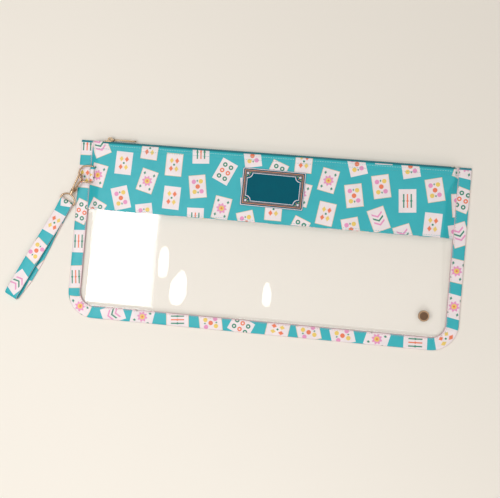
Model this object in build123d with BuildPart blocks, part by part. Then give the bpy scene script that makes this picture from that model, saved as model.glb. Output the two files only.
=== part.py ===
from build123d import *
import os
from math import asin, atan, atan2, cos, degrees, hypot, radians, sin, sqrt

os.makedirs("parts", exist_ok=True)

# A flat zip pouch for game tiles: two clear windows under printed top bands, bound round three sides,
# with a zip along the top edge and a wrist strap clipped to a ring at the upper left corner.
# X runs along the zip, Y from the bottom edge towards the zip, and Z up from the table that it lies on.

# Driving sizes of the pouch, in millimetres
pouch_width = 500
pouch_height = 230
corner_radius = 34
binding_width = 16
fabric = 0.7
vinyl = 0.4
tape = 0.6
band_low = 26
window_lap = 10
mouth_depth = 11
window_low_height = 6.5
side_run = 14

# The bound seam: a folded binding, doubled where only the windows lie in it
seam_depth = 4 * fabric + 2 * vinyl
half_width = pouch_width / 2
half_height = pouch_height / 2
window_half = half_width - binding_width
window_low = -half_height + binding_width + side_run
overrun = 15
slope = (mouth_depth - window_low_height) / (band_low + 1 - window_low)

# The zip, whose teeth face the top edge
zip_left = -219
zip_right = 231
tape_width = 14.4
tape_plane = half_height - 1.3
chain_top = half_height - 0.2
tooth_depth = 2.2
tooth_pitch = 2.5
tooth_count = 175
chain_half = 2.8
tooth_overlap = 1.2
chain_level = mouth_depth / 2
slider_middle = -212.5
slider_length = 11
slider_half = 3.85
slider_plate = 1.0
channel_half = 2.95
bridge_x = -211.1
bridge_top = half_height + 5.5
pull_hinge_y = half_height + 2.4
pull_length = 34.3
pull_thickness = 1.4

# The label patch and the stud, both blank
patch_x, patch_y = 5.3, 69.7
patch_width, patch_height = 80, 48
patch_thickness = 1.0
patch_rim = 0.25
stud_x, stud_y = 205.8, -72.8
stud_radius = 7.0
stud_post = 1.5

# The tab, the ring and the clasp
ring_bar_x, ring_y, ring_bar_z = -230.4, 70.7, 8.4
ring_half = 10.6
ring_leg = 6.6
ring_wire = 1.1
ring_corner = 1.7
ring_rise = 6.0
tab_width = 18.2
tab_layer = 0.8
clasp_at = (-255.08, 46.99, 6.8)
clasp_heading = 26.5
clasp_slope = 7.0
hook_tilt = 44.0
hook_wire = 1.1
hook_radius = 5.4
hook_centre = 19.2
hook_nose = 1.1
boss_radius = 2.6
boss_half = 2.3
bore_radius = 1.3
post_radius = 1.24
gate_pivot = (3.3, 5.0)
pin_radius = 0.6
ear_inner = 1.3
ear_thick = 0.9
eye_bar = 15.6
eye_half = 10.3
eye_depth = 9.0
eye_corner = 1.5
eye_wire = 1.1

# The wrist strap
strap_width = 18
strap_thick = 1.6
strap_fold = 144.2
strap_gap = 5.6
strap_sewn = 18
strap_low = 0.85


def save(piece, name):
    piece.part.label = name
    export_step(piece.part, f"parts/{name}.step")


def outline(inset, corner, top):
    """The pouch seen from above, drawn in by inset: square at the top and round at the bottom."""
    bottom = -half_height + inset
    with BuildSketch() as shape:
        with Locations((0, (top + bottom) / 2)):
            Rectangle(pouch_width - 2 * inset, top - bottom)
        fillet(shape.vertices().group_by(Axis.Y)[0], corner)
    return shape.sketch


def region(points, height=40):
    """An upright block over a polygon, to cut a skin to its own piece of the pouch."""
    with BuildPart() as block:
        with BuildSketch(Plane.XY.offset(-height / 2)):
            Polygon(*points, align=None)
        extrude(amount=height)
    return block.part


def side_block(points):
    """A block as wide as the pouch, drawn by its side view of Y and Z."""
    with BuildPart() as block:
        with BuildSketch(Plane.YZ.offset(-half_width)):
            Polygon(*points, align=None)
        extrude(amount=pouch_width)
    return block.part


def shoulder(inset, mouth_inset, corner, level):
    """One level of the raised front, which stays wide at the mouth and draws in below it."""
    low = -half_height + binding_width + inset
    side = window_half - inset
    mouth = window_half - mouth_inset
    with BuildSketch(Plane.XY.offset(level)) as shape:
        Polygon(
            (-mouth, half_height + overrun), (-mouth, 98), (-side, 80), (-side, low),
            (side, low), (side, 80), (mouth, 98), (mouth, half_height + overrun),
            align=None,
        )
        fillet(shape.vertices().group_by(Axis.Y)[0], corner)
    return shape.sketch


# Front skin: the outer surface of the front, from the bound seam up to the mouth
seam_top = seam_depth - fabric
with BuildPart() as raised_front:
    add(shoulder(0, 0, corner_radius - binding_width, seam_top))
    add(shoulder(side_run, 5, 4, mouth_depth))
    loft(ruled=True)
    add(
        side_block([
            (-half_height - overrun, -overrun),
            (half_height + overrun, -overrun),
            (half_height + overrun, mouth_depth + slope * (half_height + overrun - band_low - 1)),
            (-half_height - overrun, mouth_depth - slope * (half_height + overrun + band_low + 1)),
        ]),
        mode=Mode.INTERSECT,
    )
with BuildPart() as front_form:
    add(outline(fabric, corner_radius - fabric, half_height - fabric))
    extrude(amount=seam_top)
    add(raised_front.part)
    with BuildSketch():
        add(outline(fabric, corner_radius - fabric, half_height - fabric))
    extrude(amount=mouth_depth + 1, mode=Mode.INTERSECT)

# Back skins: the band and the window hang a little below the seam and lie flat on the table
with BuildPart() as back_form:
    with BuildSketch(Plane.XY.offset(fabric)):
        add(outline(fabric, corner_radius - fabric, half_height - fabric))
    extrude(amount=6)
    with BuildSketch(Plane.XY.offset(fabric)):
        add(outline(binding_width, corner_radius - binding_width, half_height - fabric))
    with BuildSketch():
        add(outline(binding_width + 3, corner_radius - binding_width - 3, half_height - fabric))
    loft(ruled=True)
with BuildPart() as back_tray:
    with BuildSketch(Plane.XY.offset(2 * fabric)):
        add(outline(binding_width, corner_radius - binding_width, half_height - fabric))
    with BuildSketch():
        add(outline(binding_width + 6, corner_radius - binding_width - 6, half_height - fabric))
    loft(ruled=True)
    add(
        side_block([
            (-half_height - overrun, -0.3), (band_low - 7.14, -0.3), (band_low, fabric),
            (half_height + overrun, fabric), (half_height + overrun, 8), (-half_height - overrun, 8),
        ]),
        mode=Mode.INTERSECT,
    )
with BuildPart() as back_window_form:
    with BuildSketch(Plane.XY.offset(2 * fabric)):
        add(outline(fabric, corner_radius - fabric, half_height - fabric))
    extrude(amount=6)
    add(back_tray.part)

band_edge = half_width - fabric
band_region = region([
    (-band_edge, band_low), (band_edge, band_low), (band_edge, half_height - fabric),
    (zip_right, half_height - fabric), (zip_right, half_height - 4.3),
    (zip_left, half_height - 4.3), (zip_left, half_height - fabric), (-band_edge, half_height - fabric),
])
window_region = region([
    (-half_width, -half_height), (half_width, -half_height),
    (half_width, band_low + window_lap), (-half_width, band_low + window_lap),
])


def skin(form, start, thickness, cut):
    """A sheet of one thickness that follows a form, from a height of start above its surface."""
    with BuildPart() as sheet:
        with Locations((0, 0, start)):
            add(form)
        with Locations((0, 0, start + thickness)):
            add(form, mode=Mode.SUBTRACT)
        add(cut, mode=Mode.INTERSECT)
    return sheet


# Front band: printed fabric, notched along its top edge where the zip tape shows
front_band = skin(front_form.part, 0, -fabric, band_region)
save(front_band, "front_band")

# Back band: the same strip on the other face
back_band = skin(back_form.part, 0, fabric, band_region)
save(back_band, "back_band")

# Front window: clear sheet, lapped under the band, with a hole for the stud
stud_height = mouth_depth - fabric + slope * (stud_y - band_low - 1)
stud_lean = atan(slope)
stud_plane = Plane(
    origin=(stud_x, stud_y, stud_height),
    x_dir=(1, 0, 0),
    z_dir=(0, -sin(stud_lean), cos(stud_lean)),
)
stud_hole = stud_post + 0.1
front_sheet = skin(front_form.part, -fabric, -vinyl, window_region)
with BuildPart() as front_window:
    add(front_sheet.part)
    with BuildSketch(stud_plane.offset(-3)):
        Circle(stud_hole)
    extrude(amount=6, mode=Mode.SUBTRACT)
save(front_window, "front_window")

# Back window: clear sheet, lapped over the inside of the back band
back_window = skin(back_window_form.part, 0, vinyl, window_region)
save(back_window, "back_window")

# Edge binding: one folded strip round the left, bottom and right, with its raw edges turned under
with BuildPart() as edge_binding:
    with BuildSketch():
        add(outline(0, corner_radius, half_height))
        add(
            outline(binding_width, corner_radius - binding_width, half_height + overrun),
            mode=Mode.SUBTRACT,
        )
    extrude(amount=seam_depth)
    with BuildSketch(Plane.XY.offset(2 * fabric)):
        add(outline(fabric, corner_radius - fabric, half_height - fabric))
    extrude(amount=2 * vinyl, mode=Mode.SUBTRACT)
    with BuildSketch(Plane.XY.offset(fabric)):
        with Locations((0, (band_low + half_height - fabric) / 2)):
            Rectangle(2 * band_edge, half_height - fabric - band_low)
    extrude(amount=seam_depth - 2 * fabric, mode=Mode.SUBTRACT)
save(edge_binding, "edge_binding")


# Zip tapes: each turns down from its band to face the top edge, and ends at the teeth
def zip_tape(side):
    band_level = chain_level + side * (chain_level - fabric - tape / 2)
    edge_level = chain_level + side * chain_half
    inner = half_height - 1 - tape_width
    middle = tape_plane
    with BuildPart() as strip:
        with BuildSketch(Plane.YZ.offset(-half_width + 21)):
            Polygon(
                (inner, band_level - side * tape / 2),
                (middle - tape / 2, band_level - side * tape / 2),
                (middle - tape / 2, edge_level),
                (middle + tape / 2, edge_level),
                (middle + tape / 2, band_level + side * tape / 2),
                (inner, band_level + side * tape / 2),
                align=None,
            )
        extrude(amount=pouch_width - 42)
    return strip


zip_tape_front = zip_tape(1)
save(zip_tape_front, "zip_tape_front")
zip_tape_back = zip_tape(-1)
save(zip_tape_back, "zip_tape_back")


# Zip teeth: each jaw grips its tape, and its tip lies between two tips of the other row
def tooth_row(side, first):
    tip = -tooth_overlap * side
    shoulder_at = 1.4 * side
    root = chain_half * side
    places = [(first + n * tooth_pitch, chain_level) for n in range(tooth_count)]
    with BuildPart() as row:
        with BuildSketch(Plane.XZ.offset(-chain_top + tooth_depth)):
            with Locations(*places):
                Polygon(
                    (-0.57, tip), (0.57, tip), (0.57, shoulder_at),
                    (0.85, root), (-0.85, root), (-0.57, shoulder_at),
                    align=None,
                )
        extrude(amount=-tooth_depth)
    return row


first_tooth = slider_middle
zip_teeth_front = tooth_row(1, first_tooth)
save(zip_teeth_front, "zip_teeth_front")
zip_teeth_back = tooth_row(-1, first_tooth + tooth_pitch / 2)
save(zip_teeth_back, "zip_teeth_back")

# Top stops: one beside each tape, just past the slider's wide end
stop_x = slider_middle - slider_length / 2 - 1.2
with BuildPart() as zip_top_stops:
    with BuildSketch(Plane.XZ.offset(-chain_top + tooth_depth)):
        with Locations((stop_x, chain_level + 1.95), (stop_x, chain_level - 1.95)):
            RectangleRounded(1.6, 1.7, 0.4)
    extrude(amount=-tooth_depth)
save(zip_top_stops, "zip_top_stops")

# Bottom stop: a staple across both rows at the right end
with BuildPart() as zip_bottom_stop:
    with BuildSketch(Plane.XZ.offset(-chain_top + tooth_depth)):
        with Locations((227.8, chain_level)):
            RectangleRounded(2.2, 2 * chain_half - 0.1, 0.6)
    extrude(amount=-tooth_depth - 0.2)
    chamfer(zip_bottom_stop.faces().sort_by(Axis.Y)[-1].edges(), 0.25)
save(zip_bottom_stop, "zip_bottom_stop")

# Slider: two plates with turned-in edges, joined by a wedge at the wide end, and a bridge for the pull
outer_plate_y = chain_top + 0.3
inner_plate_y = chain_top - tooth_depth - 0.3
plate_top = outer_plate_y + slider_plate
lip_height = 0.9
lip_wall = slider_half - channel_half - 0.2
wedge_x = slider_middle - slider_length / 2 + 2.2
with BuildPart() as zip_slider:
    for level, amount in ((outer_plate_y, -slider_plate), (inner_plate_y, slider_plate)):
        with BuildSketch(Plane.XZ.offset(-level)):
            with Locations((slider_middle, chain_level)):
                Polygon(
                    (-slider_length / 2, -2.9), (-slider_length / 2 + 1, -slider_half),
                    (1.5, -slider_half), (slider_length / 2, -3.5), (slider_length / 2, 3.5),
                    (1.5, slider_half), (-slider_length / 2 + 1, slider_half),
                    (-slider_length / 2, 2.9),
                    align=None,
                )
        extrude(amount=amount)
    lip_offset = channel_half + lip_wall / 2
    for level, amount in ((outer_plate_y, lip_height), (inner_plate_y, -lip_height)):
        with BuildSketch(Plane.XZ.offset(-level)):
            with Locations(
                (slider_middle - 0.3, chain_level + lip_offset),
                (slider_middle - 0.3, chain_level - lip_offset),
            ):
                Rectangle(slider_length - 3, lip_wall)
        extrude(amount=amount)
    with BuildSketch(Plane.XZ.offset(-inner_plate_y)):
        with Locations((wedge_x, chain_level)):
            Polygon((-1.9, 0), (0, -1.2), (1.7, 0), (0, 1.2), align=None)
    extrude(amount=inner_plate_y - outer_plate_y)
    with BuildSketch(Plane.XY.offset(chain_level - 1)):
        with Locations((bridge_x, plate_top)):
            Polygon(
                (-3.5, -0.2), (-3.3, 2.4), (-1.9, bridge_top - plate_top),
                (1.9, bridge_top - plate_top), (3.3, 2.4), (3.5, -0.2),
                align=None,
            )
            with Locations((0, 1.45)):
                RectangleRounded(3.5, 2.9, 0.8, mode=Mode.SUBTRACT)
    extrude(amount=2)
save(zip_slider, "zip_slider")

# Pull: a slim flat bar with an eye that links through the bridge
pull_eye = 4.4
pull_bar = pull_thickness / 2
with BuildPart() as zip_pull:
    with BuildSketch(Plane.XZ.offset(-pull_hinge_y + pull_bar)):
        with Locations((bridge_x, chain_level)):
            with Locations((2.8, 0)):
                RectangleRounded(7.0, 5.2, 1.2)
            Polygon((4.5, -1.5), (pull_length - 2.6, -2.6), (pull_length - 2.6, 2.6), (4.5, 1.5), align=None)
            with Locations((pull_length - 2.6, 0)):
                Circle(2.6)
            with Locations(((pull_bar + pull_eye) / 2, 0)):
                Rectangle(pull_eye - pull_bar, 2.7, mode=Mode.SUBTRACT)
            with Locations((pull_length - 3.2, 0)):
                Circle(1.1, mode=Mode.SUBTRACT)
    extrude(amount=-pull_thickness)
save(zip_pull, "zip_pull")

# Label patch: a stiff plate with a raised rim and a raised inner frame with clipped corners, left blank
with BuildPart() as label_patch:
    with BuildSketch(Plane.XY.offset(mouth_depth)):
        with Locations(Location((patch_x, patch_y, 0), (0, 0, -1))):
            RectangleRounded(patch_width, patch_height, 1.6)
    extrude(amount=patch_thickness)
    with BuildSketch(Plane.XY.offset(mouth_depth + patch_thickness)):
        with Locations(Location((patch_x, patch_y, 0), (0, 0, -1))):
            RectangleRounded(patch_width - 5, patch_height - 5, 1.0)
            RectangleRounded(patch_width - 7, patch_height - 7, 0.6, mode=Mode.SUBTRACT)
    extrude(amount=patch_rim)
save(label_patch, "label_patch")

# Stud: a blank domed cap outside the window, with its post riveted over a washer inside
stud_side = Plane(origin=stud_plane.origin, x_dir=stud_plane.x_dir, z_dir=-stud_plane.y_dir)
stud_axis = Axis(stud_plane.origin, stud_plane.z_dir)
washer_thick = 0.6
with BuildPart() as stud_cap:
    with BuildSketch(stud_side):
        with BuildLine():
            Polyline(
                (0, 1.25), (4.6, 1.0), (5.2, 1.45), (6.3, 1.45), (stud_radius, 0.8), (stud_radius, 0),
                (stud_post, 0), (stud_post, -vinyl - washer_thick), (0, -vinyl - washer_thick), (0, 1.25),
            )
        make_face()
    revolve(axis=stud_axis)
save(stud_cap, "stud_cap")
with BuildPart() as stud_washer:
    with BuildSketch(stud_plane.offset(-vinyl)):
        Circle(4.5)
        Circle(stud_post, mode=Mode.SUBTRACT)
    extrude(amount=-washer_thick)
save(stud_washer, "stud_washer")

# Ring tab: a printed strip folded round the ring's bar and caught in the seam at the binding's edge
bar_clear = ring_wire + 0.15
with BuildPart() as ring_tab:
    with BuildSketch(Plane.XZ.offset(-ring_y - tab_width / 2)):
        with Locations((ring_bar_x, ring_bar_z)):
            Circle(bar_clear + tab_layer)
        with Locations((-window_half + 1, seam_top + tab_layer)):
            Rectangle(2, 2 * tab_layer)
        make_hull()
        with Locations((ring_bar_x, ring_bar_z)):
            Circle(bar_clear, mode=Mode.SUBTRACT)
    extrude(amount=tab_width)
    add(front_form.part, mode=Mode.SUBTRACT)
save(ring_tab, "ring_tab")

# D-ring: a straight bar in the tab and a round bow that the clasp hangs on, propped up a little by it
ring_plane = Plane(
    origin=(ring_bar_x, ring_y, ring_bar_z),
    x_dir=(-cos(radians(ring_rise)), 0, sin(radians(ring_rise))),
    z_dir=(sin(radians(ring_rise)), 0, cos(radians(ring_rise))),
)
with BuildPart() as d_ring:
    with BuildLine(ring_plane) as ring_path:
        Line((0, 0), (0, ring_half - ring_corner))
        RadiusArc((0, ring_half - ring_corner), (ring_corner, ring_half), ring_corner)
        Line((ring_corner, ring_half), (ring_leg, ring_half))
        ThreePointArc((ring_leg, ring_half), (ring_leg + ring_half, 0), (ring_leg, -ring_half))
        Line((ring_leg, -ring_half), (ring_corner, -ring_half))
        RadiusArc((ring_corner, -ring_half), (0, -ring_half + ring_corner), ring_corner)
        Line((0, -ring_half + ring_corner), (0, 0))
    with BuildSketch(Plane(origin=ring_path.line @ 0, z_dir=ring_path.line % 0)):
        Circle(ring_wire)
    sweep(path=ring_path.line)
save(d_ring, "d_ring")

# The clasp's own planes: the hook leans over on its side to pass round the ring, and the eye lies flat
heading = radians(clasp_heading)
dip = radians(clasp_slope)
lean = radians(hook_tilt)
along = Vector(sin(heading) * cos(dip), cos(heading) * cos(dip), sin(dip))
across = Vector(cos(heading), -sin(heading), 0)
upward = across.cross(along)
hook_plane = Plane(
    origin=clasp_at,
    x_dir=across * cos(lean) + upward * sin(lean),
    z_dir=upward * cos(lean) - across * sin(lean),
)
eye_plane = Plane(origin=clasp_at, x_dir=across, z_dir=upward)


def crosswise(plane, distance):
    """The plane square to the clasp's length, at a distance along it."""
    return Plane(origin=plane.origin + plane.y_dir * distance, x_dir=plane.x_dir, z_dir=plane.y_dir)


# Clasp hook: a bored boss, one long arm that bends over the top, and two ears for the gate
arm_foot_x, arm_foot_y = -2.7, 0.8
foot_reach = hypot(arm_foot_x, hook_centre - arm_foot_y)
arm_angle = atan2(hook_centre - arm_foot_y, -arm_foot_x) + asin(hook_radius / foot_reach)
arm_run = sqrt(foot_reach**2 - hook_radius**2)
ear_outer = ear_inner + ear_thick
with BuildPart() as clasp_hook:
    with BuildLine(hook_plane) as arm_path:
        Line(
            (arm_foot_x, arm_foot_y),
            (arm_foot_x + arm_run * cos(arm_angle), arm_foot_y + arm_run * sin(arm_angle)),
        )
        CenterArc((0, hook_centre), hook_radius, degrees(arm_angle) + 90, -degrees(arm_angle) - 90)
        Line((hook_radius, hook_centre), (hook_radius, hook_centre - hook_nose))
    with BuildSketch(Plane(origin=arm_path.line @ 0, z_dir=arm_path.line % 0)):
        Circle(hook_wire)
    sweep(path=arm_path.line)
    for level in (ear_inner, -ear_outer):
        with BuildSketch(hook_plane.offset(level)):
            with Locations(gate_pivot):
                Circle(1.6)
            with Locations((1.9, 1.2)):
                Circle(0.9)
            make_hull()
            with Locations(gate_pivot):
                Circle(pin_radius, mode=Mode.SUBTRACT)
        extrude(amount=ear_thick)
    with BuildSketch(crosswise(hook_plane, -boss_half)):
        Circle(boss_radius)
    extrude(amount=2 * boss_half)
    with BuildSketch(crosswise(hook_plane, -boss_half - 1)):
        Circle(bore_radius)
    extrude(amount=2 * boss_half + 2, mode=Mode.SUBTRACT)
save(clasp_hook, "clasp_hook")

# Clasp gate: a lever with a bored barrel and a thumb lug, closing against the end of the arm
gate_tip = (hook_radius - 0.05, hook_centre - hook_nose - 1.2)
gate_half = 0.9
barrel_low, barrel_high = -1.2, 0.3
with BuildPart() as clasp_gate:
    with BuildSketch(hook_plane.offset(-gate_half)):
        with Locations(gate_pivot):
            Circle(1.1)
        with Locations(gate_tip):
            Circle(0.95)
        make_hull()
    extrude(amount=2 * gate_half)
    with BuildSketch(hook_plane.offset(-gate_half)):
        with Locations((4.2, 8.4)):
            Circle(0.9)
        with Locations((5.6, 9.8)):
            Circle(0.7)
        make_hull()
    extrude(amount=2 * gate_half)
    with BuildSketch(hook_plane.offset(barrel_high)):
        with Locations(gate_pivot):
            Circle(1.3)
    extrude(amount=gate_half, mode=Mode.SUBTRACT)
    with BuildSketch(hook_plane.offset(barrel_low)):
        with Locations(gate_pivot):
            Circle(1.3)
    extrude(amount=barrel_high - barrel_low)
    with BuildSketch(hook_plane.offset(barrel_low - 1)):
        with Locations(gate_pivot):
            Circle(pin_radius + 0.05)
    extrude(amount=4, mode=Mode.SUBTRACT)
save(clasp_gate, "clasp_gate")

# Gate pin: riveted through both ears
with BuildPart() as gate_pin:
    with BuildSketch(hook_plane.offset(-ear_outer - 0.3)):
        with Locations(gate_pivot):
            Circle(pin_radius)
    extrude(amount=2 * ear_outer + 0.6)
    for level in (ear_outer, -ear_outer - 0.3):
        with BuildSketch(hook_plane.offset(level)):
            with Locations(gate_pivot):
                Circle(1.0)
        extrude(amount=0.3)
save(gate_pin, "gate_pin")

# Gate spring: a small coil round the pin, between the barrel and one ear
spring_radius = 0.86
spring_wire = 0.11
with BuildPart() as gate_spring:
    with BuildLine() as coil:
        Helix(
            pitch=0.3,
            height=0.6,
            radius=spring_radius,
            center=hook_plane.from_local_coords((gate_pivot[0], gate_pivot[1], 0.5)),
            direction=hook_plane.z_dir,
        )
    with BuildSketch(Plane(origin=coil.line @ 0, z_dir=coil.line % 0)):
        Circle(spring_wire)
    sweep(path=coil.line, is_frenet=True)
save(gate_spring, "gate_spring")

# Swivel eye: a D of wire for the strap, on a post that turns in the boss and is riveted over inside it
eye_end = eye_half - eye_corner
eye_rise = eye_corner - eye_bar
with BuildPart() as swivel_eye:
    with BuildLine(eye_plane) as eye_path:
        Line((0, -eye_bar), (eye_end, -eye_bar))
        RadiusArc((eye_end, -eye_bar), (eye_half, eye_rise), -eye_corner)
        EllipticalCenterArc((0, eye_rise), eye_half, eye_depth, start_angle=0, arc_size=180)
        RadiusArc((-eye_half, eye_rise), (-eye_end, -eye_bar), -eye_corner)
        Line((-eye_end, -eye_bar), (0, -eye_bar))
    with BuildSketch(Plane(origin=eye_path.line @ 0, z_dir=eye_path.line % 0)):
        Circle(eye_wire)
    sweep(path=eye_path.line)
    eye_top = eye_rise + eye_depth
    collar_high = -boss_half - 0.05
    head_low = boss_half + 0.1
    with BuildSketch(crosswise(eye_plane, eye_top)):
        Circle(post_radius)
    extrude(amount=head_low + 0.5 - eye_top)
    with BuildSketch(crosswise(eye_plane, eye_top + 0.4)):
        Circle(1.9)
    extrude(amount=collar_high - eye_top - 0.4)
    with BuildSketch(crosswise(eye_plane, head_low)):
        Circle(1.7)
    extrude(amount=0.9, taper=15)
save(swivel_eye, "swivel_eye")

# Wrist strap: one printed strip, sewn to itself behind the eye's bar and folded back into a loop
bar_middle = Vector(clasp_at) - along * eye_bar
strap_plane = Plane(
    origin=(bar_middle.X, bar_middle.Y, 0),
    x_dir=(-sin(heading), -cos(heading), 0),
    z_dir=-across,
)
strap_eye = eye_wire + 0.15
strap_top = strap_low + strap_thick + strap_gap
strap_end = strap_fold - strap_thick / 2
fold_radius = (strap_top - strap_low) / 2 - 0.01
with BuildPart() as wrist_strap:
    with BuildSketch(strap_plane.offset(-strap_width / 2)):
        with Locations((0, bar_middle.Z)):
            Circle(strap_eye + strap_thick)
        with Locations((strap_sewn - 5, strap_low + strap_thick / 2)):
            Rectangle(10, 2 * strap_thick)
        make_hull()
        with Locations((0, bar_middle.Z)):
            Circle(strap_eye, mode=Mode.SUBTRACT)
    extrude(amount=strap_width)
    with BuildLine(strap_plane) as loop_path:
        FilletPolyline(
            (strap_sewn - 4, strap_low), (strap_end, strap_low),
            (strap_end, strap_top), (80, strap_top), (46, strap_top - 2.3),
            (strap_sewn, strap_low + strap_thick), (strap_sewn - 4, strap_low + strap_thick),
            radius=[fold_radius, fold_radius, 60, 60, 20],
        )
    with BuildSketch(Plane(origin=loop_path.line @ 0, x_dir=across, z_dir=loop_path.line % 0)):
        Rectangle(strap_width, strap_thick)
    sweep(path=loop_path.line)
save(wrist_strap, "wrist_strap")
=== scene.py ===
import bpy
import math
import numpy as np
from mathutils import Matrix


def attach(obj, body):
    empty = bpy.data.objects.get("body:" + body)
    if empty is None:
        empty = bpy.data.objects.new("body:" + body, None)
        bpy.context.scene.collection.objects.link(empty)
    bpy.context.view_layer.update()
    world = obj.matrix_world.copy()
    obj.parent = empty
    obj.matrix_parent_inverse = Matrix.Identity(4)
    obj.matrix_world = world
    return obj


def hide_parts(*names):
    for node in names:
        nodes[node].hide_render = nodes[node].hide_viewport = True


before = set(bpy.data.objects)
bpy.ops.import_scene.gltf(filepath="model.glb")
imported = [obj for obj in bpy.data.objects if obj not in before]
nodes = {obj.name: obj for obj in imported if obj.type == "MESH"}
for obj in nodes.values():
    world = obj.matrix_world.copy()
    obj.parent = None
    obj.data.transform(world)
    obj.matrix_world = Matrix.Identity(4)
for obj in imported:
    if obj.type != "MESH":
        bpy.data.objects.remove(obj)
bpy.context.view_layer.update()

# Front band: printed coated cloth across the top of the front, cut in one
# strip, sewn to the zip tape above and over the edge of the clear window.
MM = 0.001
PER_METRE = 1000.0
half_width, half_height = 250.0, 115.0
layers_end_x, layers_end_y = 249.3, 114.3
seam_x, seam_top = 232, 2.9
mouth_depth = 11.0
band_low, band_high = 26.0, 111.9
zip_left, zip_right = -219.0, 231.0
cloth_thick = 0.7
stitch_rows = (108.9, 104.6, 28.2)


def operator(operation, turned=False):
    def work(self, other):
        return self.math(operation, *((other, self) if turned else (self, other)))
    return work


class Wire:
    """A shader socket that takes part in Python sums."""

    def __init__(self, tree, socket):
        self.tree, self.socket = tree, socket

    def math(self, operation, *values, clamp=False):
        node = self.tree.nodes.new("ShaderNodeMath")
        node.operation = operation
        node.use_clamp = clamp
        for place, value in enumerate(values):
            if isinstance(value, Wire):
                self.tree.links.new(value.socket, node.inputs[place])
            else:
                node.inputs[place].default_value = value
        return Wire(self.tree, node.outputs[0])

    __add__ = operator("ADD")
    __radd__ = operator("ADD", True)
    __sub__ = operator("SUBTRACT")
    __rsub__ = operator("SUBTRACT", True)
    __mul__ = operator("MULTIPLY")
    __rmul__ = operator("MULTIPLY", True)
    __truediv__ = operator("DIVIDE")
    __pow__ = operator("POWER")
    __lt__ = operator("LESS_THAN")
    __gt__ = operator("GREATER_THAN")
    most = operator("MAXIMUM")
    modulo = operator("MODULO")
    turn_from = operator("ARCTAN2")

    def __abs__(self):
        return self.math("ABSOLUTE", self)

    def apply(self, operation):
        return self.math(operation, self)

    def clamp(self):
        return self.math("ADD", self, 0.0, clamp=True)

    def equals(self, number):
        return self.math("COMPARE", self, number, 0.1)


class Finish:
    """A material, or the world's light, being built from nodes."""

    def __init__(self, name, kind="Material"):
        self.material = getattr(bpy.data, kind.lower() + "s").new(name)
        self.material.use_nodes = True
        self.tree = self.material.node_tree
        self.tree.nodes.clear()
        self.surface = self.tree.nodes.new("ShaderNodeOutput" + kind).inputs["Surface"]

    def node(self, kind, settings=None, output=0, **values):
        """Adds a node: its settings first, then a value or a link for each socket.

        A socket is given by its name, with _ for a space, or by its place, as i0.
        """
        made = self.tree.nodes.new(kind)
        for key, value in (settings or {}).items():
            if key == "stops":
                while len(made.color_ramp.elements) < len(value):
                    made.color_ramp.elements.new(0.5)
                for element, (at, colour) in zip(made.color_ramp.elements, value):
                    element.position, element.color = at, (*colour, 1)
            else:
                setattr(made, key, value)
        for key, value in values.items():
            place = int(key[1:]) if key[1:].isdigit() else key.replace("_", " ")
            socket = made.inputs[place]
            if isinstance(value, Wire):
                self.tree.links.new(value.socket, socket)
            elif isinstance(value, tuple) and socket.type == "RGBA":
                socket.default_value = (*value, 1)
            else:
                socket.default_value = value
        return Wire(self.tree, made.outputs[output])

    def mix(self, factor, under, over):
        return self.node("ShaderNodeMix", {"data_type": "RGBA"}, 2, i0=factor, i6=under, i7=over)

    def parts(self, vector):
        made = self.tree.nodes.new("ShaderNodeSeparateXYZ")
        self.tree.links.new(vector.socket, made.inputs[0])
        return [Wire(self.tree, out) for out in made.outputs]

    def place(self):
        return self.node("ShaderNodeTexCoord", output="Object")

    def noise(self, where, scale, detail=3.0):
        return self.node("ShaderNodeTexNoise", Vector=where, Scale=scale, Detail=detail)

    def bump(self, height, strength, distance):
        return self.node("ShaderNodeBump", Strength=strength, Distance=distance, Height=height)

    def coat(self, **values):
        self.finish(self.node("ShaderNodeBsdfPrincipled", **values))
        return self.material

    def finish(self, shader):
        self.tree.links.new(shader.socket, self.surface)
        return self.material


def disc(x, y, radius, soft=0.3):
    reach = (x * x + y * y).apply("SQRT")
    return ((radius - reach) / soft + 0.5).clamp()


def bar(x, y, half_x, half_y, soft=0.3):
    depth = (abs(x) - half_x).most(abs(y) - half_y)
    return (0.5 - depth / soft).clamp()


def diamond(x, y, size, slope=0.75):
    return (size - abs(x) - abs(y) * slope).clamp()


def darker(colour, share):
    return tuple(c * share for c in colour)


teal = (0.018, 0.475, 0.54)
deep_teal = (0.008, 0.25, 0.31)
shadow_teal = (0.01, 0.2, 0.25)
blush = (0.96, 0.85, 0.865)
coral = (0.92, 0.2, 0.075)
pink = (0.88, 0.32, 0.58)
sun = (0.93, 0.65, 0.13)
leaf = (0.015, 0.26, 0.15)
peach = (0.9, 0.64, 0.4)
rose = (0.66, 0.42, 0.46)
card_pitch_x, card_pitch_y = 33.0, 43.0
card_half_x, card_half_y, card_rim = 10.8, 14.6, 0.6
card_shift_x, card_shift_y, card_turn = 0.8, 6.0, 0.92
column_drop, column_scatter = 20.0, 10.0
even_start = 100.0
figure_count = 6.0


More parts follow.
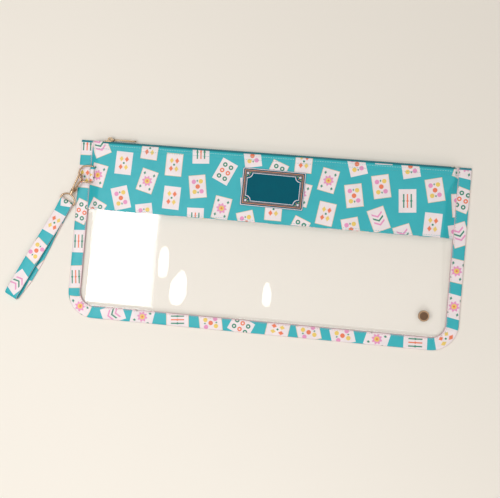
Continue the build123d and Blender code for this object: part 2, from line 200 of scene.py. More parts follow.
def printed(f, u, v):
    """Pale cards strewn over teal in dropped columns, each with one of six plain figures."""
    column = (u / card_pitch_x).apply("FLOOR")
    toss = f.node("ShaderNodeCombineXYZ", X=column, Y=7.0, Z=1.0)
    drop = f.node("ShaderNodeTexWhiteNoise", Vector=toss)
    odd = (column + even_start).modulo(2.0)
    v = v + odd * column_drop + drop * column_scatter
    row = (v / card_pitch_y).apply("FLOOR")
    seat = f.node("ShaderNodeCombineXYZ", X=column, Y=row, Z=3.0)
    chance = f.tree.nodes.new("ShaderNodeTexWhiteNoise")
    f.tree.links.new(seat.socket, chance.inputs["Vector"])
    pick = (Wire(f.tree, chance.outputs["Value"]) * figure_count).apply("FLOOR")
    r1, r2, r3 = f.parts(Wire(f.tree, chance.outputs["Color"]))
    x = u - (column + 0.5) * card_pitch_x - (r2 - 0.5) * card_shift_x
    y = v - (row + 0.5) * card_pitch_y - (r3 - 0.5) * card_shift_y
    turn = (r1 - 0.5) * card_turn
    c, s = turn.apply("COSINE"), turn.apply("SINE")
    x, y = x * c + y * s, y * c - x * s
    base = f.mix(bar(x, y, card_half_x, card_half_y), teal, f.mix(r2 > 0.55, peach, blush))
    base = f.mix(bar(x, y, card_half_x - card_rim, card_half_y - card_rim), base, blush)
    quarter = x * y > 0.0

    # six ringed spots
    ax, ay = abs(x) - 4.2, abs(abs(y) - 4.0) - 4.0
    ring = disc(ax, ay, 2.9) - disc(ax, ay, 1.2)
    base = f.mix(ring * pick.equals(0), base, f.mix(abs(y) > 4.0, coral, leaf))
    # a rosette with four leaves
    angle = y.turn_from(x)
    reach = (x * x + y * y).apply("SQRT")
    petals = (6.3 + (angle * 8.0).apply("COSINE") - reach).clamp()
    here = pick.equals(1)
    base = f.mix(petals * here, base, pink)
    base = f.mix(disc(x, y, 3.3) * here, base, sun)
    base = f.mix(disc(x, y, 1.4) * here, base, coral)
    base = f.mix(diamond(abs(x) - 6.4, abs(y) - 9.0, 2.1) * here, base, leaf)
    # four chequered diamonds round a dot
    here = pick.equals(2)
    chequer = f.mix(quarter, sun, coral)
    base = f.mix(diamond(abs(x) - 3.5, abs(y) - 5.2, 3.2) * here, base, chequer)
    base = f.mix(disc(x, y, 1.3) * here, base, leaf)
    # upright staves, each with a knot
    ax = abs(abs(x) - 2.3) - 2.3
    stave = bar(ax, y, 0.8, 8.6).most(bar(ax, y, 1.35, 0.9))
    base = f.mix(stave * pick.equals(3), base, f.mix(abs(x) > 2.3, coral, leaf))
    # five plain discs and two small diamonds
    here = pick.equals(4)
    corner_disc = disc(abs(x) - 4.5, abs(y) - 6.4, 2.8)
    base = f.mix(corner_disc * here, base, f.mix(quarter, pink, sun))
    base = f.mix(disc(x, y, 2.9) * here, base, coral)
    base = f.mix(diamond(x, abs(y) - 7.4, 1.6) * here, base, leaf)
    # three stacked chevrons
    climb = y + 9.5 - abs(x) * 0.7
    step = (climb / 5.2).apply("FLOOR")
    stroke = bar(x, climb - (step + 0.5) * 5.2, 6.6, 1.15) * (step > -0.5) * (step < 2.5)
    return f.mix(stroke * pick.equals(5), base, f.mix(step.equals(1), pink, leaf))


def cloth_finish(name, edge=None, ends=None):
    """Printed coated cloth: the cards lie on the piece's own lengths, over a pebbled grain.

    edge is how far in the dusky edge reaches, and ends are the two lengths between which
    the print shows, all in millimetres.
    """
    f = Finish(name)
    u, v, _ = f.parts(f.node("ShaderNodeUVMap", {"uv_map": "cloth"}))
    colour = printed(f, u * PER_METRE, v * PER_METRE)
    where = f.place()
    shade = (f.noise(where, 55.0, 4.0) - 0.5) * 0.26 + 0.04
    colour = f.mix(shade, colour, shadow_teal)
    if edge is not None:
        from_edge, along, _ = f.parts(f.node("ShaderNodeUVMap", {"uv_map": "edge"}))
        if ends is not None:
            length = along * PER_METRE
            colour = f.mix((length < ends[0]).most(length > ends[1]), colour, deep_teal)
        dusk = ((edge - from_edge * PER_METRE) / 0.25).clamp()
        colour = f.mix(dusk * 0.85, colour, rose)
    pebbles = f.node("ShaderNodeTexVoronoi", Vector=where, Scale=1400.0)
    height = pebbles + f.noise(where, 2600.0, 2.0) * 0.4
    return f.coat(Base_Color=colour, Roughness=f.noise(where, 220.0) * 0.18 + 0.36,
                  Specular_IOR_Level=0.5, Normal=f.bump(height, 0.25, 0.00008))


cloth = cloth_finish("printed_cloth")
wall_foot_x, wall_foot_y = 234.0, -99.0
wall_run, wall_rise = 14.0, 8.1
wall_slope, slope_from = 4.5 / 112, 27
thread_dip, thread_dip_reach = 0.17, 1.1


def fade(distance, over):
    """Goes from 0 to 1 as the distance goes from nothing to over."""
    return np.clip(distance / over, 0, 1)


def wall_height(x, y):
    """Outer face of the front wall, in millimetres."""
    shoulder = np.interp(y, [80, 98], [220.0, 229.0])
    climb = np.minimum((wall_foot_x - abs(x)) / (wall_foot_x - shoulder),
                       (y - wall_foot_y) / wall_run)
    climb = np.clip(climb, 0, 1)
    climb = 0.5 * climb * climb * (3 - 2 * climb) + 0.5 * climb
    top = np.minimum(mouth_depth, mouth_depth + wall_slope * (y - slope_from))
    return np.minimum(seam_top + wall_rise * climb, top)


def ripple(x, y, size, seed):
    """A few slow waves, as sheet goods have when they lie loose."""
    waves, full_turn = 6, 6.283
    rng = np.random.default_rng(seed)
    total = np.zeros_like(x, dtype=float)
    for _ in range(waves):
        kx, ky = rng.uniform(-1, 1) / size, rng.uniform(-1, 1) / size
        total += np.sin(full_turn * (kx * x + ky * y) + rng.uniform(0, full_turn))
    return total / waves


def sewn(x, y):
    """How far the thread draws the cloth down beside the rows of stitches."""
    total = np.zeros_like(x, dtype=float)
    for row in stitch_rows:
        close = np.exp(-((y - row) / thread_dip_reach) ** 2)
        pull = 0.5 + 0.35 * np.sin(x * 0.83 + row) + 0.3 * np.sin(x * 0.37 + 2 * row)
        total += thread_dip * close * np.clip(pull, 0, 1.2)
    return total


def in_scene(name, data):
    made = bpy.data.objects.new(name, data)
    bpy.context.scene.collection.objects.link(made)
    return made


def new_mesh(name, points, faces, material, uvs=None, smooth=True):
    """A piece from points in metres, with a UV map for each entry of uvs, given by point."""
    mesh = bpy.data.meshes.new(name)
    mesh.from_pydata([tuple(p) for p in points], [], faces)
    for layer, values in (uvs or {}).items():
        made = mesh.uv_layers.new(name=layer)
        loops = np.zeros(len(mesh.loops), dtype=np.int32)
        mesh.loops.foreach_get("vertex_index", loops)
        made.data.foreach_set("uv", np.asarray(values, dtype=np.float32)[loops].ravel())
    mesh.materials.append(material)
    mesh.validate()
    if smooth:
        mesh.shade_smooth()
    return in_scene(name, mesh)


def dress(piece, body, slot, *replaced):
    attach(piece, body)
    if replaced:
        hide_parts(*replaced)
    return piece


def sheet_piece(name, surface, thickness, material, uvs):
    """A closed thin sheet from a grid of upper points, in millimetres: rows by columns by 3."""
    rows, cols, _ = surface.shape
    normal = np.cross(np.gradient(surface, axis=1), np.gradient(surface, axis=0))
    normal /= np.maximum(np.linalg.norm(normal, axis=2, keepdims=True), 1e-9)
    under = surface - normal * thickness
    points = np.concatenate([surface.reshape(-1, 3), under.reshape(-1, 3)]) * MM
    count = rows * cols
    faces = []
    for r in range(rows - 1):
        for c in range(cols - 1):
            a = r * cols + c
            faces.append((a, a + 1, a + cols + 1, a + cols))
            faces.append((count + a, count + a + cols, count + a + cols + 1, count + a + 1))
    rim = list(range(cols)) + [r * cols + cols - 1 for r in range(1, rows)]
    rim += [(rows - 1) * cols + c for c in range(cols - 2, -1, -1)]
    rim += [r * cols for r in range(rows - 2, 0, -1)]
    for a, b in zip(rim, rim[1:] + rim[:1]):
        faces.append((a, count + a, count + b, b))
    layers = {key: np.concatenate([value.reshape(-1, 2)] * 2) for key, value in uvs.items()}
    return new_mesh(name, points, faces, material, layers)


def band_grid(level):
    """Places all over a band, whose top edge steps up past the two ends of the zip."""
    step = 0.02
    xs = np.concatenate([
        np.linspace(-layers_end_x, zip_left - step, 14),
        np.linspace(zip_left + step, zip_right - step, 300),
        np.linspace(zip_right + step, layers_end_x, 10),
    ])
    near = np.array([-2.2, -1.1, -0.5, 0, 0.5, 1.1])
    ys = np.concatenate([np.linspace(band_low, band_high, 36)]
                        + [row + near for row in stitch_rows])
    ts = np.unique((np.clip(ys, band_low, band_high) - band_low) / (band_high - band_low))
    x, t = np.meshgrid(xs, ts)
    high = np.where((x > zip_left) & (x < zip_right), band_high, layers_end_y)
    y = band_low + t * (high - band_low)
    return x, y, level(x, y)


def front_level(x, y):
    loose = fade(seam_x - abs(x), 20) * fade(110 - y, 10)
    inside = fade(seam_x - abs(x), 6)
    return wall_height(x, y) + 0.35 * loose * ripple(x, y, 70, 5) - sewn(x, y) * inside


front_print_x, front_print_y = 8, 14
x, y, z = band_grid(front_level)
front_print = np.stack([(x + front_print_x) * MM, (y + front_print_y) * MM], 2)
front_band = sheet_piece("band_front_cloth", np.stack([x, y, z], 2), cloth_thick, cloth,
                         {"cloth": front_print})
dress(front_band, "pouch", "printed_fabric", "front_band")

# Back band: the same strip on the face that lies on the table, sewn to the
# other zip tape and over the edge of the back window.
back_print_x = 400


def back_level(x, y):
    lift = fade(abs(x) - 231, 3)
    return cloth_thick + cloth_thick * lift


x, y, z = band_grid(back_level)
back_print = np.stack([(back_print_x - x) * MM, y * MM], 2)
back_band = sheet_piece("band_back_cloth", np.stack([x, y, z], 2), cloth_thick, cloth,
                        {"cloth": back_print})
dress(back_band, "pouch", "printed_fabric", "back_band")

# Windows: clear soft vinyl, front and back, lapped under the bands and caught
# in the binding. Each is one thin skin, drawn as one; the front one lies in slow ripples.
window_high = 36.0
window_round = 33.3
window_sink = 0.75
gloss_ahead, gloss_aslant = 0.045, 0.45
back_rest, back_seam_lift, back_lap_lift = 0.42, 1.36, 1.2
# place, slope and reach of the patches that lean to the light and glint
window_glints = [(-104, -73, 0.095, 20, 30), (9, -72, 0.2, 17, 40), (-126, -36, 0.08, 10, 16)]


def vinyl_finish():
    f = Finish("clear_vinyl")
    where = f.place()
    haze = f.noise(where, 30.0, 5.0)
    facing = f.node("ShaderNodeLayerWeight", output="Facing", Blend=0.5)
    clear = f.node("ShaderNodeBsdfTransparent", Color=(0.996, 0.995, 0.993))
    skin = f.bump(haze + f.noise(where, 400.0, 2.0) * 0.05, 0.06, 0.0004)
    shine = f.node("ShaderNodeBsdfPrincipled", Base_Color=(0.97, 0.97, 0.97), Metallic=1.0,
                   Roughness=haze * 0.04 + 0.02, Normal=skin)
    share = facing ** 5.0 * gloss_aslant + gloss_ahead
    return f.finish(f.node("ShaderNodeMixShader", i0=share, i1=clear, i2=shine))


def vinyl_piece(name, x, y, z, replaced):
    rows, cols = x.shape
    points = np.stack([x, y, z], 2).reshape(-1, 3) * MM
    faces = [(a, a + 1, a + cols + 1, a + cols)
             for r in range(rows - 1) for a in range(r * cols, r * cols + cols - 1)]
    piece = new_mesh(name, points, faces, vinyl)
    return dress(piece, "pouch", "clear_vinyl", replaced)


def window_grid(columns, rows):
    """A grid that fills the window down to the round of its two lower corners."""
    x, y = np.meshgrid(np.linspace(-layers_end_x, layers_end_x, columns),
                       np.linspace(-layers_end_y, window_high, rows))
    drop = fade(-layers_end_y + window_round - y, window_round)
    limit = layers_end_x - window_round + window_round * np.sqrt(1 - drop**2)
    return x * (limit / layers_end_x), y


def tilt(x, y, at_x, at_y, slope, reach_x, reach_y):
    """A patch of the skin that leans over to the left."""
    dx, dy = x - at_x, y - at_y
    return slope * dx * np.exp(-((dx / reach_x) ** 2) - (dy / reach_y) ** 2)


vinyl = vinyl_finish()
x, y = window_grid(240, 100)
inside = fade(seam_x - abs(x), 30) * fade(y + 97, 25) * fade(24 - y, 18)
dents = 0.55 * ripple(x, y, 95, 11) + 0.22 * ripple(x, y, 38, 3)
dents += sum(tilt(x, y, *glint) for glint in window_glints)
vinyl_piece("window_front_vinyl", x, y, wall_height(x, y) - window_sink + inside * dents,
            "front_window")

x, y = window_grid(120, 50)
edge = np.maximum(fade(abs(x) - 228, 6), fade(-y - 93, 6))
z = back_rest + back_seam_lift * edge + back_lap_lift * fade(y - 19, 7) * (1 - edge)
vinyl_piece("window_back_vinyl", x[::-1], y[::-1], z[::-1], "back_window")

# Edge binding: one printed strip folded over the edge of all the layers, from
# the top left corner round the bottom to the top right, and stitched through.
corner_round = 34.0
binding_width, binding_middle, binding_row_in = 16.1, 8, 14.2
binding_tuck = 2.6
slow_wave, gather_wave, stitch_wave = 0.21, 0.8, 1.1
binding_profile = [
    (16.0, 2.95), (16.15, 3.3), (15.7, 3.62), (14.4, 3.72), (12.8, 3.55), (9.0, 3.5),
    (5.0, 3.6), (2.0, 3.6), (0.7, 3.3), (0.05, 2.5), (0.0, 1.8), (0.05, 1.1),
    (0.7, 0.3), (2.0, 0.02), (8.0, 0.02), (15.6, 0.02), (16.1, 0.3), (16.0, 0.65),
    (9.0, 0.7), (1.4, 0.8), (0.8, 1.8), (1.4, 2.8), (9.0, 2.85),
]


def rim_path(step=2.5):
    """Points, outward directions and lengths along the pouch's edge, left top to right top."""
    straight_x, straight_y = half_width - corner_round, -half_height + corner_round
    ys = np.arange(half_height, straight_y, -step)
    path = [(-half_width, py, -1.0, 0.0) for py in ys]
    for side, start in ((-1, math.pi), (1, 1.5 * math.pi)):
        for a in np.linspace(start, start + 0.5 * math.pi, 34):
            c, s = math.cos(a), math.sin(a)
            path.append((side * straight_x + corner_round * c, straight_y + corner_round * s, c, s))
        if side < 0:
            path += [(px, -half_height, 0.0, -1.0)
                     for px in np.arange(-straight_x, straight_x, step)[1:]]
    path += [(half_width, py, 1.0, 0.0) for py in ys[::-1]]
    path = np.array(path)
    keep = np.concatenate([[True], np.linalg.norm(np.diff(path[:, :2], axis=0), axis=1) > 0.05])
    path = path[keep]
    middle = path[:, :2] - path[:, 2:] * binding_middle
    length = np.concatenate([[0], np.cumsum(np.linalg.norm(np.diff(middle, axis=0), axis=1))])
    return path[:, :2], path[:, 2:], length


def lengths_round(profile):
    gaps = [math.hypot(b[0] - a[0], b[1] - a[1]) for a, b in zip(profile, profile[1:])]
    return np.concatenate([[0], np.cumsum(gaps)])


def tube_faces(rings, count, turned=False):
    """Faces between rings of points, with both ends closed."""
    faces = []
    for i in range(rings - 1):
        for j in range(count):
            a, b = i * count + j, i * count + (j + 1) % count
            faces.append((a, a + count, b + count, b) if turned else (a, b, b + count, a + count))
    first, last = list(range(count)), [(rings - 1) * count + j for j in range(count)]
    caps = (first, last[::-1]) if turned else (first[::-1], last)
    return faces + [tuple(cap) for cap in caps]


rim, rim_out, rim_run = rim_path()
binding_round = lengths_round(binding_profile)
points, cloth_uv, edge_uv = [], [], []
for i, run in enumerate(rim_run):
    turning = 1.0 if abs(rim_out[i, 0]) not in (0.0, 1.0) else 0.0
    for j, (inset, level) in enumerate(binding_profile):
        pucker = 0.0
        if level > 3.0 and 2 < inset < 15:
            beside_row = math.exp(-((inset - binding_row_in) / 1.2) ** 2)
            pucker = 0.1 * math.sin(run * slow_wave + inset * 0.2)
            pucker += 0.7 * turning * (math.sin(run * gather_wave) ** 3 - 0.2) * inset / 16
            pucker -= 0.1 * (0.5 + 0.5 * math.sin(run * stitch_wave)) * beside_row
        place = rim[i] - rim_out[i] * inset
        points.append((place[0] * MM, place[1] * MM, (level + pucker) * MM))
        cloth_uv.append(((binding_round[j] + 8.0) * MM, (run + 11) * MM))
        edge_uv.append((min(abs(binding_width - inset), inset + 0.45) * MM, run * MM))
bound_edge = cloth_finish("binding_cloth", edge=0.9,
                          ends=(binding_tuck, rim_run[-1] - binding_tuck))
binding = new_mesh("binding_cloth_strip", points, tube_faces(len(rim), len(binding_profile)),
                   bound_edge, {"cloth": np.array(cloth_uv), "edge": np.array(edge_uv)})
dress(binding, "pouch", "printed_fabric", "edge_binding")
rim_run[-1] * MM

# Zip tapes: woven teal tape, flat under the band's edge and turned down to the
# teeth, one on each side of the mouth.
tape_end, tape_thick, chain_level = 229, 0.6, 5.5
tape_ribs = 2400.0
tape_dark, tape_light = (0.004, 0.185, 0.225), (0.02, 0.27, 0.3)


def tape_finish():
    f = Finish("zip_tape_weave")
    where = f.place()
    x, y, _ = f.parts(where)
    warp, weft = x * tape_ribs, y * tape_ribs
    weave = (warp + weft).apply("SINE") * 0.5 + (warp - weft).apply("SINE") * 0.5
    share = (weave * 0.5 + 0.5) * 0.3 + (f.noise(where, 90.0) - 0.5) * 0.4
    return f.coat(Base_Color=f.mix(share, tape_dark, tape_light), Roughness=0.72,
                  Normal=f.bump(weave, 0.5, 0.0001))


tape_weave = tape_finish()
for name, side, level, node in (("zip_tape_front_weave", 1, 10.35, "zip_tape_front"),
                                ("zip_tape_back_weave", -1, 0.65, "zip_tape_back")):
    line = [(99.8, level), (104, level), (109, level), (112.3, level),
            (113.4, level - side * 0.25), (113.95, level - side * 0.9),
            (114.0, chain_level + side * 3.6), (114.0, chain_level + side * 2.8)]
    tape_xs = np.linspace(-tape_end, tape_end, 230)
    surface = np.array([[(px, py, pz) for px in tape_xs] for py, pz in line])
    piece = sheet_piece(name, surface if side > 0 else surface[::-1], tape_thick, tape_weave, {})
    dress(piece, "pouch", "zip_tape", node)

# Topstitching: spun thread in beads along a path, pale in the upper row below
# the zip, teal in the row under it and in the one over the window's lap, and a
# dusky rose along the inner edge of the binding.
stitch_end, stitch_lift, binding_row_level = 232.5, 0.1, 3.78


def thread_finish(name, colour):
    f = Finish(name)
    twist = f.noise(f.place(), 3000.0, 2.0)
    return f.coat(Base_Color=f.mix(twist * 0.5, colour, darker(colour, 0.72)), Roughness=0.6,
                  Normal=f.bump(twist, 0.4, 0.00006))


def stitch_tree():
    """Beads of thread, one at each step along a path, as a Geometry Nodes tree."""
    tree = bpy.data.node_groups.new("stitch_row", "GeometryNodeTree")
    new, link, sockets = tree.nodes.new, tree.links.new, {}
    for name, kind in (("Path", "Geometry"), ("Stitch pitch", "Float"), ("Stitch length", "Float"),
                       ("Thread width", "Float"), ("Thread", "Material")):
        sockets[name] = tree.interface.new_socket(name, in_out="INPUT",
                                                  socket_type="NodeSocket" + kind)
    tree.interface.new_socket("Stitches", in_out="OUTPUT", socket_type="NodeSocketGeometry")
    start, end = new("NodeGroupInput"), new("NodeGroupOutput")
    curve, sample = new("GeometryNodeMeshToCurve"), new("GeometryNodeResampleCurve")
    sample.mode = "LENGTH"
    tangent, align = new("GeometryNodeInputTangent"), new("FunctionNodeAlignRotationToVector")
    align.axis = "X"
    stitch, size = new("GeometryNodeMeshUVSphere"), new("ShaderNodeCombineXYZ")
    stitch.inputs["Segments"].default_value = 8
    stitch.inputs["Rings"].default_value = 4
    stitch.inputs["Radius"].default_value = 0.5
    put, real = new("GeometryNodeInstanceOnPoints"), new("GeometryNodeRealizeInstances")
    paint = new("GeometryNodeSetMaterial")
    link(start.outputs["Path"], curve.inputs[0])
    link(curve.outputs[0], sample.inputs["Curve"])
    link(start.outputs["Stitch pitch"], sample.inputs["Length"])
    link(sample.outputs[0], put.inputs["Points"])
    link(tangent.outputs[0], align.inputs["Vector"])
    link(align.outputs[0], put.inputs["Rotation"])
    link(stitch.outputs["Mesh"], put.inputs["Instance"])
    link(start.outputs["Stitch length"], size.inputs["X"])
    link(start.outputs["Thread width"], size.inputs["Y"])
    link(start.outputs["Thread width"], size.inputs["Z"])
    link(size.outputs[0], put.inputs["Scale"])
    link(put.outputs[0], real.inputs[0])
    link(real.outputs[0], paint.inputs["Geometry"])
    link(start.outputs["Thread"], paint.inputs["Material"])
    link(paint.outputs[0], end.inputs[0])
    return tree, {name: socket.identifier for name, socket in sockets.items()}


stitches, stitch_inputs = stitch_tree()


def sew(name, path, thread, pitch=3.1, length=2.4, width=0.5):
    """Runs stitches along a line of points in millimetres and leaves them as a plain mesh."""
    mesh = bpy.data.meshes.new(name)
    mesh.from_pydata([tuple(c * MM for c in p) for p in path],
                     [(i, i + 1) for i in range(len(path) - 1)], [])
    guide = in_scene(name + "_guide", mesh)
    work = guide.modifiers.new("stitches", "NODES")
    work.node_group = stitches
    for socket, value in (("Stitch pitch", pitch * MM), ("Stitch length", length * MM),
                          ("Thread width", width * MM), ("Thread", thread)):
        work[stitch_inputs[socket]] = value
    worked = guide.evaluated_get(bpy.context.evaluated_depsgraph_get())
    result = bpy.data.meshes.new_from_object(worked)
    bpy.data.objects.remove(guide)
    return dress(in_scene(name, result), "pouch", "printed_fabric")


pale_thread = thread_finish("pale_teal_thread", (0.5, 0.83, 0.8))
teal_thread = thread_finish("teal_thread", (0.1, 0.56, 0.58))
rose_thread = thread_finish("rose_thread", (0.6, 0.34, 0.33))
for name, row, thread in zip(("stitch_zip_upper", "stitch_zip_lower", "stitch_window_lap"),
                             stitch_rows, (pale_thread, teal_thread, teal_thread)):
    xs = np.linspace(-stitch_end, stitch_end, 300)
    ys = np.full_like(xs, row)
    sew(name, np.stack([xs, ys, front_level(xs, ys) + stitch_lift], 1), thread)
inner = rim - rim_out * binding_row_in
sew("stitch_binding", [(a, b, binding_row_level) for a, b in inner], rose_thread, width=0.36)

# Label patch: a stiff backed plate, left bare, with printed metallic lines: a
# pale outer line, a copper frame and an inner panel whose corners are notched.
patch_x, patch_y, patch_turn = 5.3, 69.7, math.radians(-1)
patch_half_x, patch_half_y = 40.0, 24.0
patch_top, patch_rim_top = 12.0, 12.25
leather_dark, leather_light = (0.0, 0.095, 0.14), (0.0, 0.13, 0.18)


def leather_finish():
    f = Finish("patch_leather")
    where = f.place()
    cells = f.node("ShaderNodeTexVoronoi", Vector=where, Scale=900.0)
    cloud = f.noise(where, 120.0, 5.0)
    return f.coat(Base_Color=f.mix(cloud * 0.6, leather_dark, leather_light),
                  Roughness=cloud * 0.15 + 0.4, Specular_IOR_Level=0.06,
                  Normal=f.bump(cells, 0.3, 0.00006))


def foil_finish(name, colour):
    f = Finish(name)
    cloud = f.noise(f.place(), 500.0, 4.0)
    return f.coat(Base_Color=f.mix(cloud * 0.7, colour, darker(colour, 0.45)), Metallic=0.6,
                  Roughness=cloud * 0.2 + 0.3)


def patch_loop(inset, notch, hollow=False, steps=7):
    """A rectangle drawn in from the patch's edge, its corners rounded, or scooped if hollow."""
    hx, hy = patch_half_x - inset, patch_half_y - inset
    loop = []
    for sx, sy, start in ((1, 1, 0), (-1, 1, 90), (-1, -1, 180), (1, -1, 270)):
        for k in range(steps + 1):
            if hollow:
                a, cx, cy = math.radians(start + 270 - 90 * k / steps), sx * hx, sy * hy
            else:
                a = math.radians(start + 90 * k / steps)
                cx, cy = sx * (hx - notch), sy * (hy - notch)
            loop.append((cx + notch * math.cos(a), cy + notch * math.sin(a)))
    return np.array(loop)


def on_patch(loop):
    """Turns and moves places given from the patch's middle to where the patch lies."""
    c, s = math.cos(patch_turn), math.sin(patch_turn)
    return np.asarray(loop) @ np.array([[c, s], [-s, c]]) + (patch_x, patch_y)


def patch_line(name, outer, inner, low, high, material):
    """A raised line between two loops, from one height to another."""
    loops, n = (on_patch(outer), on_patch(inner)), len(outer)
    points = [(x * MM, y * MM, level * MM)
              for level in (high, low) for loop in loops for x, y in loop]
    faces = []
    for i in range(n):
        k = (i + 1) % n
        faces += [(i, k, n + k, n + i), (2 * n + i, 3 * n + i, 3 * n + k, 2 * n + k),
                  (i, 2 * n + i, 2 * n + k, k), (n + i, n + k, 3 * n + k, 3 * n + i)]
    dress(new_mesh(name, points, faces, material, smooth=False), "pouch", "patch_leather")


def patch_beads(name, spots, material, sides=14):
    """Small domed dots of foil, given by place from the patch's middle and radius."""
    rings = ((1.0, patch_top - 0.05), (0.92, patch_top + 0.1), (0.5, patch_top + 0.18))
    turns = [2 * math.pi * k / sides for k in range(sides)]
    points, faces = [], []
    for px, py, radius in spots:
        first = len(points)
        for share, level in rings:
            loop = on_patch([(px + share * radius * math.cos(a), py + share * radius * math.sin(a))
                             for a in turns])
            points += [(x * MM, y * MM, level * MM) for x, y in loop]
        for ring in range(len(rings) - 1):
            for k in range(sides):
                a, b = first + ring * sides + k, first + ring * sides + (k + 1) % sides
                faces.append((a, b, b + sides, a + sides))
        faces.append(tuple(first + 2 * sides + k for k in range(sides)))
        faces.append(tuple(first + k for k in range(sides - 1, -1, -1)))
    dress(new_mesh(name, points, faces, material, smooth=False), "pouch", "patch_leather")


def recoat(node, material):
    nodes[node].data.materials.clear()
    nodes[node].data.materials.append(material)


leather = leather_finish()
silver_line = foil_finish("patch_pale_foil", (0.74, 0.7, 0.76))
copper_line = foil_finish("patch_copper_foil", (0.62, 0.25, 0.13))
recoat("label_patch", leather)
patch_line("patch_line_outer", patch_loop(0.3, 1.5), patch_loop(1.15, 1.2),
           patch_top - 0.1, patch_top + 0.07, silver_line)
patch_line("patch_frame_copper", patch_loop(2.55, 1.0), patch_loop(3.45, 0.7),
           patch_rim_top - 0.05, patch_rim_top + 0.06, copper_line)
patch_line("patch_frame_thin", patch_loop(4.5, 0.5), patch_loop(4.85, 0.4),
           patch_top - 0.05, patch_top + 0.06, copper_line)
patch_line("patch_panel_line", patch_loop(5.9, 6.6, True), patch_loop(6.6, 6.6, True),
           patch_top - 0.05, patch_top + 0.06, silver_line)
corners = [(sx, sy) for sx in (-1, 1) for sy in (-1, 1)]
green_places = [(sx * px, sy * py) for sx, sy in corners for px, py in ((30.2, 17.9), (33.9, 14.2))]
patch_beads("patch_beads_pale", [(sx * 33.2, sy * 17.2, 1.5) for sx, sy in corners], silver_line)
patch_beads("patch_beads_green", [(px, py, 0.95) for px, py in green_places],
            foil_finish("patch_green_foil", (0.25, 0.42, 0.16)))
patch_beads("patch_beads_copper", [(sx * 31.2, sy * 15.2, 0.75) for sx, sy in corners], copper_line)

# Hardware: cast pieces in pale gold plate, polished: the slider, pull, stops,
# stud, ring, clasp and eye. The teeth are moulded in teal plastic, and the
# spring in the clasp is steel wire.
stud_x, stud_y, stud_well = 205.8, -72.8, 4.9


def metal_finish(name, colour, rough=0.16, scuff_and_painted_reflection=0.1, well=None):
    """Polished plate, rougher where scuffed, with painted reflection as darker patches in its
    colour; well is the darker colour in the stud's middle.
    """
    f = Finish(name)
    where = f.place()
    cloud = f.noise(where, 260.0, 5.0)
    # painted reflection: random darker patches of the plate colour stand in for the dark
    # surroundings a polished piece reflects
    tint_with_painted_reflection = f.mix((cloud - 0.4) * scuff_and_painted_reflection * 2.0, colour, darker(colour, 0.5))
    if well is not None:
        x, y, _ = f.parts(where)
        middle = disc(x * PER_METRE - stud_x, y * PER_METRE - stud_y, stud_well)
        tint_with_painted_reflection = f.mix(middle, tint_with_painted_reflection, well)
    return f.coat(Base_Color=tint_with_painted_reflection, Metallic=1.0, Roughness=cloud * scuff_and_painted_reflection + rough,
                  Normal=f.bump(f.noise(where, 1800.0), 0.08, 0.00005))


def tooth_finish():
    f = Finish("teal_tooth_plastic")
    cloud = f.noise(f.place(), 700.0)
    return f.coat(Base_Color=f.mix(cloud * 0.5, (0.008, 0.2, 0.24), (0.004, 0.15, 0.19)),
                  Roughness=cloud * 0.1 + 0.3)


gold = metal_finish("pale_gold_plate", (0.52, 0.36, 0.23), 0.1, 0.2)
zip_gold = metal_finish("zip_gold_plate", (0.33, 0.24, 0.15), 0.12, 0.25)
stud_gold = metal_finish("stud_gold_plate", (0.42, 0.28, 0.18), 0.1, 0.2, (0.13, 0.075, 0.045))
spring_wire = metal_finish("spring_steel_wire", (0.55, 0.55, 0.56), 0.3)
teal_plastic = tooth_finish()
finishes = {
    gold: ("stud_washer", "d_ring", "clasp_hook", "clasp_gate", "gate_pin", "swivel_eye"),
    zip_gold: ("zip_slider", "zip_pull", "zip_bottom_stop", "zip_top_stops"),
    stud_gold: ("stud_cap",),
    spring_wire: ("gate_spring",),
    teal_plastic: ("zip_teeth_front", "zip_teeth_back"),
}
for material, names in finishes.items():
    for name in names:
        recoat(name, material)

# Ring tab: a short printed strip folded round the bar of the ring, both ends
# caught in the seam beside the binding.
ring_bar_x, ring_bar_z, tab_wrap = -230.4, 8.4, 2.05
tab_thick = 0.75
tab_print_x, tab_print_y = 214, 9
tab_turns = [math.radians(135 - 225 * k / 16) for k in range(17)]
tab_bend = [(ring_bar_x + tab_wrap * math.cos(a), ring_bar_z + tab_wrap * math.sin(a))
            for a in tab_turns]
tab_line = np.array([(-234.0, 4.6)] + tab_bend + [(-232.0, 4.3)])
tab_ys = np.linspace(61.6, 79.8, 12)
surface = np.array([[(px, py, pz) for py in tab_ys] for px, pz in tab_line])
tab_run = lengths_round(tab_line)
tab_print = np.array([[((py + tab_print_x) * MM, (s + tab_print_y) * MM) for py in tab_ys]
                      for s in tab_run])
tab = sheet_piece("tab_cloth", surface, tab_thick, cloth, {"cloth": tab_print})
dress(tab, "pouch", "printed_fabric", "ring_tab")

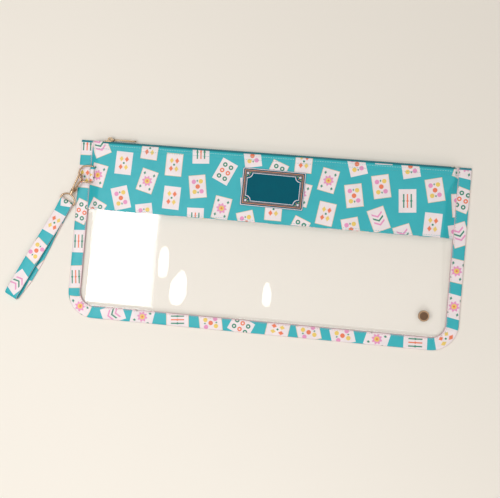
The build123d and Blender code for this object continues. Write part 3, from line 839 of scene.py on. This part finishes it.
# Wrist strap: a printed strip, its edges folded to the middle and sewn, passed
# round the eye's bar and sewn back to itself to make a long flat loop.
strap_heading, strap_dip = math.radians(26.5), math.radians(7)
clasp_at = np.array([-255.08, 46.99, 6.8])
bar_from_clasp, bar_wrap, bar_level = 15.6, 2.05, 4.9
strap_half, strap_rest, strap_drift = 9.0, 0.85, 4.6
along = np.array([math.sin(strap_heading) * math.cos(strap_dip),
                  math.cos(strap_heading) * math.cos(strap_dip), math.sin(strap_dip)])
across = np.array([math.cos(strap_heading), -math.sin(strap_heading), 0.0])
down = np.array([-math.sin(strap_heading), -math.cos(strap_heading), 0.0])
eye_bar = clasp_at - along * bar_from_clasp
strap_profile = [
    (-9.0, 0.0), (-8.7, 0.55), (-7.6, 0.8), (-3, 0.76), (3, 0.76), (7.6, 0.8), (8.7, 0.55),
    (9.0, 0.0), (8.7, -0.55), (7.6, -0.8), (3, -0.76), (-3, -0.76), (-7.6, -0.8), (-8.7, -0.55),
]
eye_turn = [(14, 1.2), (8, 2.2), (3.0, 2.9)]
eye_turn += [(bar_wrap * math.cos(t), bar_level + bar_wrap * math.sin(t))
             for t in np.linspace(-1.9, -4.4, 9)]
eye_turn += [(3.0, 6.7), (8, 5.6), (14, 4.7)]
top_leg = [(19.0, 4.3), (26, 4.5), (36, 5.2), (48, 6.2), (62, 7.3), (80, 8.05), (100, 8.05),
           (120, 8.0), (138, 8.0)]
strap_fold = [(140.8 + 2.9 * math.sin(t), 5.05 + 3.0 * math.cos(t))
              for t in np.linspace(0.25, 2.9, 10)]
low_leg = [(138, 1.7), (120, 0.9), (90, 0.85), (60, 0.85), (40, 0.85), (24, 0.85), (19, 0.85)]
route = np.array(eye_turn + top_leg + strap_fold + low_leg)
route_run = lengths_round(route)
strap_run = np.linspace(0, route_run[-1], 260)
reach = np.interp(strap_run, route_run, route[:, 0])
level = np.interp(strap_run, route_run, route[:, 1])
reach[2:-2] = np.convolve(reach, np.ones(5) / 5, "valid")
level[2:-2] = np.convolve(level, np.ones(5) / 5, "valid")
level = np.maximum(level, strap_rest)
fold_at = route_run[len(eye_turn) + len(top_leg) - 1]
drift = strap_drift * fade(strap_run - fold_at, 40) * fade(route_run[-1] - strap_run, 70)
lie = np.stack([reach, level], 1)
tangent = np.gradient(lie, axis=0)
tangent /= np.linalg.norm(tangent, axis=1, keepdims=True)
strap_round = lengths_round(strap_profile)
points, cloth_uv, edge_uv = [], [], []
for i, run in enumerate(strap_run):
    for j, (w, t) in enumerate(strap_profile):
        s, z = lie[i] + t * np.array([-tangent[i, 1], tangent[i, 0]])
        place = np.array([eye_bar[0], eye_bar[1], 0]) + down * s + across * (w + drift[i])
        points.append((place[0] * MM, place[1] * MM, max(z, 0.02) * MM))
        cloth_uv.append(((strap_round[j] + 7.0 + 6 * card_pitch_x) * MM, (run + 2) * MM))
        edge_uv.append(((strap_half - abs(w)) * MM, run * MM))
strap_cloth = cloth_finish("strap_cloth", edge=0.45)
strap = new_mesh("strap_cloth_loop", points,
                 tube_faces(len(strap_run), len(strap_profile), True), strap_cloth,
                 {"cloth": np.array(cloth_uv), "edge": np.array(edge_uv)})
dress(strap, "strap", "printed_fabric", "wrist_strap")

# Table top, light and camera: a plain warm pale surface under a broad soft
# overhead light and two softboxes, one at the left and one low in front, seen
# from nearly straight above.
table_half, table_level = 3, -0.0002
table_finish = Finish("table_top")
cloud = table_finish.noise(table_finish.place(), 3.0, 2.0)
table_colour = table_finish.mix(cloud * 0.4, (0.93, 0.885, 0.805), (0.945, 0.9, 0.82))
table_finish.coat(Base_Color=table_colour, Roughness=0.8)
table_corners = [(sx * table_half, sy * table_half, table_level)
                 for sx, sy in ((-1, -1), (1, -1), (1, 1), (-1, 1))]
table = new_mesh("table_top", table_corners, [(0, 1, 2, 3)], table_finish.material, smooth=False)

# The room is bright overhead, dark at its walls and pale again low down, behind the table
room = Finish("room_light", "World")
_, _, height = room.parts(room.node("ShaderNodeTexCoord", output="Generated"))
walls = room.node("ShaderNodeValToRGB", {"stops": [
    (0.0, (0.66, 0.635, 0.585)), (0.2, (0.66, 0.635, 0.585)), (0.3, (0.14, 0.125, 0.11)),
    (0.7, (0.18, 0.16, 0.145)), (0.88, (1.0, 0.985, 0.97))]}, Fac=height)
bpy.context.scene.world = room.finish(room.node("ShaderNodeBackground", Color=walls, Strength=1.3))


def softbox(name, place, size_x, size_y, power):
    lamp = bpy.data.lights.new(name, "AREA")
    lamp.shape, lamp.size, lamp.size_y, lamp.energy = "RECTANGLE", size_x, size_y, power
    in_scene(name, lamp).location = place


softbox("softbox_left", (-0.48, -0.12, 1.0), 0.25, 0.55, 3.0)
softbox("softbox_low", (0.15, -0.95, 0.75), 0.6, 0.4, 2.5)

lens = bpy.data.cameras.new("camera")
lens.lens, lens.sensor_width = 60, 36
camera = in_scene("camera", lens)
camera.location = (0.089, -0.0188, 1.0598)
camera.rotation_euler = tuple(math.radians(a) for a in (1.069, 5.705, 4.958))
bpy.context.scene.camera = camera
bpy.context.scene.view_settings.view_transform = "Standard"
